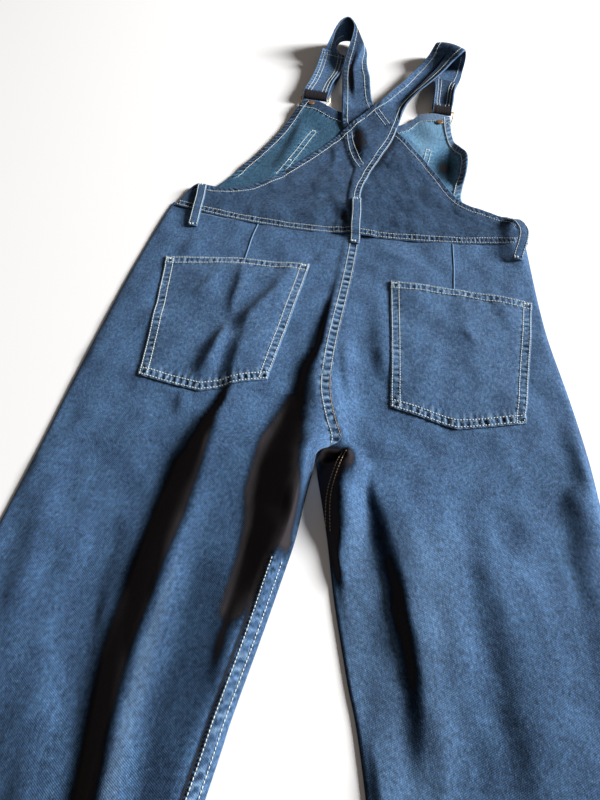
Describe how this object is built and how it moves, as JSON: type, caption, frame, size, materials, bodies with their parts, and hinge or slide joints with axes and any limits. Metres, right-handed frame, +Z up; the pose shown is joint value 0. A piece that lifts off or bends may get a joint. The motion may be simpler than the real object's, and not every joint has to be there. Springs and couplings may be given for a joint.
{
  "type": "denim overalls",
  "caption": "Blue denim overalls laid face down, with crossed back straps, buckled bib, patch pockets and full-length straight legs.",
  "frame": {"origin": "middle of the footprint, on the surface the garment lies on", "axes": "+Y from the leg hems to the shoulders, +X to the right of someone who looks at the back, +Z up off the surface"},
  "size_m": [0.693, 1.487, 0.0473],
  "materials": {
    "denim": "indigo twill, face side",
    "denim_reverse": "lighter wrong side of the twill",
    "buckle_metal": "pale gold plate",
    "rivet_metal": "copper plate"
  },
  "bodies": {
    "root": {"front_leg_left": "denim", "front_leg_right": "denim", "back_leg_left": "denim", "back_leg_right": "denim", "front_bib": "denim_reverse", "bib_pocket": "denim", "back_yoke_left": "denim", "back_yoke_right": "denim", "strap_return_left": "denim", "strap_return_right": "denim", "back_pocket_left": "denim", "back_pocket_right": "denim", "belt_loop_left": "denim", "belt_loop_centre": "denim", "belt_loop_right": "denim", "buckle_left": "buckle_metal", "buckle_right": "buckle_metal", "button_left": "buckle_metal", "button_right": "buckle_metal", "rivet_left": "rivet_metal", "rivet_right": "rivet_metal"}
  },
  "joints": []
}
